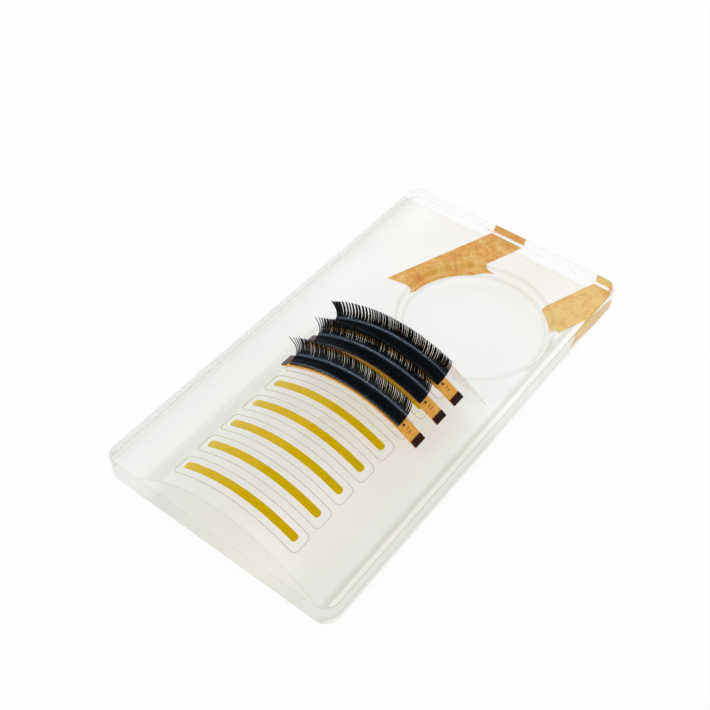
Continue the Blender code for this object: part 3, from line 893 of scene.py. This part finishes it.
# Painted shade: a light gray along the left and front edges.
left_edge_shade = fade("X", -0.0337, -0.0344)
front_edge_shade = fade("Y", -0.0638, -0.0646)
edge_shade = node(tree, "ShaderNodeMath", {0: left_edge_shade, 1: front_edge_shade}, operation="MAXIMUM")
edge_shade = node(tree, "ShaderNodeMath", {0: edge_shade.outputs[0], 1: painted_shadow_line}, operation="MAXIMUM")
shaded_and_lit_print = node(tree, "ShaderNodeMix", {
    0: edge_shade.outputs[0], MIX_A: print_with_bed_shade.outputs[MIX_COLOUR], MIX_B: colour("#E6E9E5")},
    data_type="RGBA")
shaded_and_lit_print = node(tree, "ShaderNodeMix", {
    0: painted_bright_band, MIX_A: shaded_and_lit_print.outputs[MIX_COLOUR], MIX_B: colour("#FFFFFF")}, data_type="RGBA")
surface(tree, node(tree, "ShaderNodeBsdfDiffuse", {"Color": shaded_and_lit_print.outputs[MIX_COLOUR]}))
paint_faces(ground, block, lambda f: (f.normal.z < FACES_DOWN and f.center.z < TOUCHING
                                      and f.center.y < PRINT_BACK))

# %% [markdown]
# Inks
#
# Screen ink is opaque and levels to a hard gloss, so a bar shows its yellow gold plainly with the
# room mirrored on top. Its gold flakes tint that mirror a little. The fine lines are the same ink,
# so thin that the white shows through.

# %% Glossy bar ink
ink, tree, place = material("glossy gold screen ink")
pigment = node(tree, "ShaderNodeTexNoise", {"Vector": place, "Scale": 900.0, "Detail": 4.0})
tone = node(tree, "ShaderNodeValToRGB", {"Fac": pigment.outputs["Fac"]},
            stops=[(0.3, "#D2AC00"), (0.7, "#DEB600")])
grain = node(tree, "ShaderNodeBump", {
    "Height": pigment.outputs["Fac"], "Strength": 0.05, "Distance": 0.00005})
surface(tree, node(tree, "ShaderNodeBsdfPrincipled", {
    "Base Color": tone.outputs["Color"], "Roughness": 0.06, "IOR": 1.50,
    "Specular Tint": colour("#FFF890"), "Normal": grain.outputs["Normal"]}))
paint(ink, *bars)

# %% Thin line ink
line_ink, tree, place = material("thin gold line ink")
pigment = node(tree, "ShaderNodeTexNoise", {"Vector": place, "Scale": 600.0, "Detail": 3.0})
tone = node(tree, "ShaderNodeValToRGB", {"Fac": pigment.outputs["Fac"]},
            stops=[(0.3, "#C3BF9A"), (0.7, "#D3D1B4")])
surface(tree, node(tree, "ShaderNodeBsdfPrincipled", {
    "Base Color": tone.outputs["Color"], "Roughness": 0.25, "IOR": 1.50}))
paint(line_ink, *lines)

# %% [markdown]
# Tape, tabs and marks
#
# The tape is a satin copper coloured foil on paper: the paper's fibres show as fine mottling and
# the foil gives it a warm soft sheen. The tabs and marks are dark ink on the same foil.

# %% Foil tape
foil, tree, place = material("satin copper foil on paper")
fibres = node(tree, "ShaderNodeTexNoise", {"Vector": place, "Scale": 1400.0, "Detail": 4.0})
tone = node(tree, "ShaderNodeValToRGB", {"Fac": fibres.outputs["Fac"]},
            stops=[(0.3, "#F4A438"), (0.7, "#FFC054")])
bumps = node(tree, "ShaderNodeBump", {
    "Height": fibres.outputs["Fac"], "Strength": 0.15, "Distance": 0.00005})
surface(tree, node(tree, "ShaderNodeBsdfPrincipled", {
    "Base Color": tone.outputs["Color"], "Roughness": 0.38, "IOR": 1.5, "Metallic": 0.1,
    "Normal": bumps.outputs["Normal"]}))
paint(foil, *tapes)

# %% Dark tabs and marks
tab_ink, tree, place = material("dark brown tab ink")
fibres = node(tree, "ShaderNodeTexNoise", {"Vector": place, "Scale": 1200.0, "Detail": 3.0})
tone = node(tree, "ShaderNodeValToRGB", {"Fac": fibres.outputs["Fac"]},
            stops=[(0.3, "#2A0C07"), (0.7, "#3C140D")])
surface(tree, node(tree, "ShaderNodeBsdfPrincipled", {
    "Base Color": tone.outputs["Color"], "Roughness": 0.28, "IOR": 1.5}))
paint(tab_ink, *tabs, *marks)

# %% [markdown]
# Gold leaf
#
# Loose leaf is laid under the slab. It wrinkles and tears as it goes down, so its colour runs in
# patches from copper to pale gold, with brighter flakes where it creased. It is paler towards the
# tile's right side, and here and there a small tear shows the white behind it.

# %% Gold leaf
leaf, tree, place = material("wrinkled gold leaf")
patches = node(tree, "ShaderNodeTexNoise", {
    "Vector": place, "Scale": 260.0, "Detail": 6.0, "Roughness": 0.65})
flakes = node(tree, "ShaderNodeTexVoronoi", {"Vector": place, "Scale": 1100.0})
mottle = node(tree, "ShaderNodeMath", {
    0: flakes.outputs["Distance"], 1: 0.25, 2: patches.outputs["Fac"]}, operation="MULTIPLY_ADD")
across = node(tree, "ShaderNodeSeparateXYZ", {0: place}).outputs["X"]
pale = node(tree, "ShaderNodeMapRange", {
    "Value": across, "From Min": 0.012, "From Max": 0.028, "To Max": 0.20})
mixed = node(tree, "ShaderNodeMath", {0: mottle.outputs[0], 1: pale.outputs["Result"]},
             operation="ADD")
tone = node(tree, "ShaderNodeValToRGB", {"Fac": mixed.outputs[0]},
            stops=[(0.40, "#CC7C1A"), (0.60, "#DA9C34"), (0.86, "#E8C676")])
torn = node(tree, "ShaderNodeTexNoise", {
    "Vector": place, "Scale": 210.0, "Detail": 7.0, "Roughness": 0.7})
holes = node(tree, "ShaderNodeMapRange", {
    "Value": torn.outputs["Fac"], "From Min": 0.64, "From Max": 0.69})
leafed = node(tree, "ShaderNodeMix", {
    0: holes.outputs["Result"], MIX_A: tone.outputs["Color"], MIX_B: colour("#EBE4D2")},
    data_type="RGBA")
wrinkle = node(tree, "ShaderNodeBump", {
    "Height": mottle.outputs[0], "Strength": 0.3, "Distance": 0.0003})
surface(tree, node(tree, "ShaderNodeBsdfPrincipled", {
    "Base Color": leafed.outputs[MIX_COLOUR], "Roughness": 0.5, "Metallic": 0.2,
    "Normal": wrinkle.outputs["Normal"]}))
paint(leaf, *(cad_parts[f"gold_leaf_band_{number}"] for number in (1, 2)))

# %% [markdown]
# Lash fibre
#
# PBT is a polyester dyed jet black in the melt. A fibre is smooth enough to gleam, so a row of
# them shows a cool streak of light where it bends. The band of glue under them is matt and black.

# %% Lash fibre
fibre_black, tree, place = material("jet black PBT fibre")
dye = node(tree, "ShaderNodeTexNoise", {"Vector": place, "Scale": 500.0, "Detail": 2.0})
tone = node(tree, "ShaderNodeValToRGB", {"Fac": dye.outputs["Fac"]},
            stops=[(0.3, "#030406"), (0.7, "#06080B")])
gleam = node(tree, "ShaderNodeMapRange", {
    "Value": dye.outputs["Fac"], "To Min": 0.22, "To Max": 0.30})
surface(tree, node(tree, "ShaderNodeBsdfPrincipled", {
    "Base Color": tone.outputs["Color"], "Roughness": gleam.outputs["Result"], "IOR": 1.57,
    "Specular IOR Level": 0.5, "Specular Tint": colour("#DCEAF8")}))
paint(fibre_black, *fans)

# %% Band of glue
glue, tree, place = material("matt black band of glue")
grain = node(tree, "ShaderNodeTexNoise", {"Vector": place, "Scale": 1800.0, "Detail": 2.0})
tone = node(tree, "ShaderNodeValToRGB", {"Fac": grain.outputs["Fac"]},
            stops=[(0.3, "#030305"), (0.7, "#07070A")])
surface(tree, node(tree, "ShaderNodeBsdfPrincipled", {
    "Base Color": tone.outputs["Color"], "Roughness": 0.7, "IOR": 1.45,
    "Specular IOR Level": 0.2}))
paint(glue, *bands)

# %% [markdown]
# The room
#
# The holder lies on a white table in a pale room with a dim ceiling. The ceiling matters only where
# something mirrors it. A ray that refracts into the acrylic counts as glossy and as transmitted, so
# the dim room is kept for rays that are glossy and not transmitted.

# %% A pale room
world = bpy.data.worlds.new("pale room")
bpy.context.scene.world = world
world.use_nodes = True
tree = world.node_tree
tree.nodes.clear()
direction = node(tree, "ShaderNodeTexCoord").outputs["Generated"]
up = node(tree, "ShaderNodeSeparateXYZ", {0: direction}).outputs["Z"]
mirrored = node(tree, "ShaderNodeValToRGB", {"Fac": up},
                stops=[(0.0, "#D8DADC"), (0.30, "#9A9C9E"), (0.60, "#5A5C5E"), (1.0, "#5A5C5E")])
WHITE, PALE = (1, 1, 1, 1), (0.8, 0.8, 0.8, 1)
path = node(tree, "ShaderNodeLightPath")
lit = node(tree, "ShaderNodeMix", {
    0: path.outputs["Is Diffuse Ray"], MIX_A: WHITE, MIX_B: PALE}, data_type="RGBA")
bounced = node(tree, "ShaderNodeMath", {
    0: path.outputs["Is Glossy Ray"], 1: path.outputs["Is Transmission Ray"]},
    operation="SUBTRACT", use_clamp=True)
seen = node(tree, "ShaderNodeMix", {
    0: bounced.outputs[0], MIX_A: lit.outputs[MIX_COLOUR], MIX_B: mirrored.outputs["Color"]},
    data_type="RGBA")
sky = node(tree, "ShaderNodeBackground", {"Color": seen.outputs[MIX_COLOUR], "Strength": 1.0})
node(tree, "ShaderNodeOutputWorld", {"Surface": sky.outputs[0]})
print("room nodes:", len(tree.nodes))

# %% [markdown]
# The table
#
# The photograph's white is burnt out, so the table almost glows to the camera and through the
# acrylic. To all else it is a matt white. It lies a hair below the tile, so that no two faces share
# one place.

# %% A white table
FLOOR_SIZE, FLOOR_DROP, GLOW = 8, 0.0002, 0.95
fresh()
bpy.ops.mesh.primitive_plane_add(size=FLOOR_SIZE, location=(0, 0, -FLOOR_DROP))
floor = keep("floor")
table, tree, _ = material("white table")
path = node(tree, "ShaderNodeLightPath")
shown = node(tree, "ShaderNodeMath", {
    0: path.outputs["Is Camera Ray"], 1: path.outputs["Is Transmission Ray"]}, operation="MAXIMUM")
glowing = node(tree, "ShaderNodeMath", {0: shown.outputs[0], 1: GLOW}, operation="MULTIPLY")
matt = node(tree, "ShaderNodeBsdfDiffuse", {"Color": colour("#F8F8F8")})
white = node(tree, "ShaderNodeEmission", {"Color": WHITE, "Strength": 1.0})
surface(tree, node(tree, "ShaderNodeMixShader", {
    0: glowing.outputs[0], 1: matt.outputs[0], 2: white.outputs[0]}))
paint(table, floor)

# %% [markdown]
# The lamps
#
# A tall window stands behind the holder on the left. Its top edge, mirrored in the arch, is what
# splits each bar into a lighter and a darker part. A narrow lamp high in front puts the streak on
# the lashes' bend. It is linked to the lashes alone, as on the acrylic it would burn out.

# %% Window and gleam lamp
def softbox(name, place, target, width, height, watts, tint, only_mirrored=False):
    """An area lamp of this size at a place, turned to a target and unseen by the camera."""
    lamp = bpy.data.lights.new(name, "AREA")
    lamp.shape = "RECTANGLE"
    lamp.size, lamp.size_y = width, height
    lamp.energy = watts
    lamp.color = colour(tint)[:3]
    made = bpy.data.objects.new(name, lamp)
    bpy.context.collection.objects.link(made)
    made.location = place
    made.rotation_euler = (Vector(target) - Vector(place)).to_track_quat("-Z", "Y").to_euler()
    made.visible_camera = False
    made.visible_diffuse = made.visible_transmission = not only_mirrored
    return made


WINDOW_TURN, WINDOW_AWAY, WINDOW_WIDTH, WINDOW_TOP = math.radians(-45), 0.62, 1.0, 0.90
window_place = (WINDOW_AWAY * math.sin(WINDOW_TURN), WINDOW_AWAY * math.cos(WINDOW_TURN),
                WINDOW_TOP / 2)
softbox("window", window_place, (0, 0, WINDOW_TOP / 2), WINDOW_WIDTH, WINDOW_TOP,
        watts=2.1, tint="#F4F8FF")
GLEAM_PLACE, GLEAM_TARGET, GLEAM_WIDTH, GLEAM_HEIGHT = (-0.21, -0.80, 0.76), (0, 0, 0.02), 0.9, 0.14
gleam_lamp = softbox("gleam lamp", GLEAM_PLACE, GLEAM_TARGET, GLEAM_WIDTH, GLEAM_HEIGHT,
                     watts=9.5, tint="#E0ECF8", only_mirrored=True)
gleaming = bpy.data.collections.new("lit by the gleam lamp")
for fan in fans:
    gleaming.objects.link(fan)
gleam_lamp.light_linking.receiver_collection = gleaming

# %% [markdown]
# The camera
#
# The camera looks down from the front right. Its place, turn and lens are fitted to the corners of
# the base in the photograph. The Standard view keeps whites white, as a product picture does.

# %% Camera
CAMERA_PLACE, CAMERA_TURN = (0.10733, -0.15550, 0.21870), (42.1157, -0.8818, 37.5778)
SENSOR_MM, LENS_MM = 36, 55.458
camera_data = bpy.data.cameras.new("camera")
camera_data.sensor_width = SENSOR_MM
camera_data.lens = LENS_MM
camera = bpy.data.objects.new("camera", camera_data)
bpy.context.collection.objects.link(camera)
camera.location = CAMERA_PLACE
camera.rotation_euler = [math.radians(degrees) for degrees in CAMERA_TURN]
bpy.context.scene.camera = camera
bpy.context.scene.view_settings.view_transform = "Standard"
print("lens:", LENS_MM, "mm")
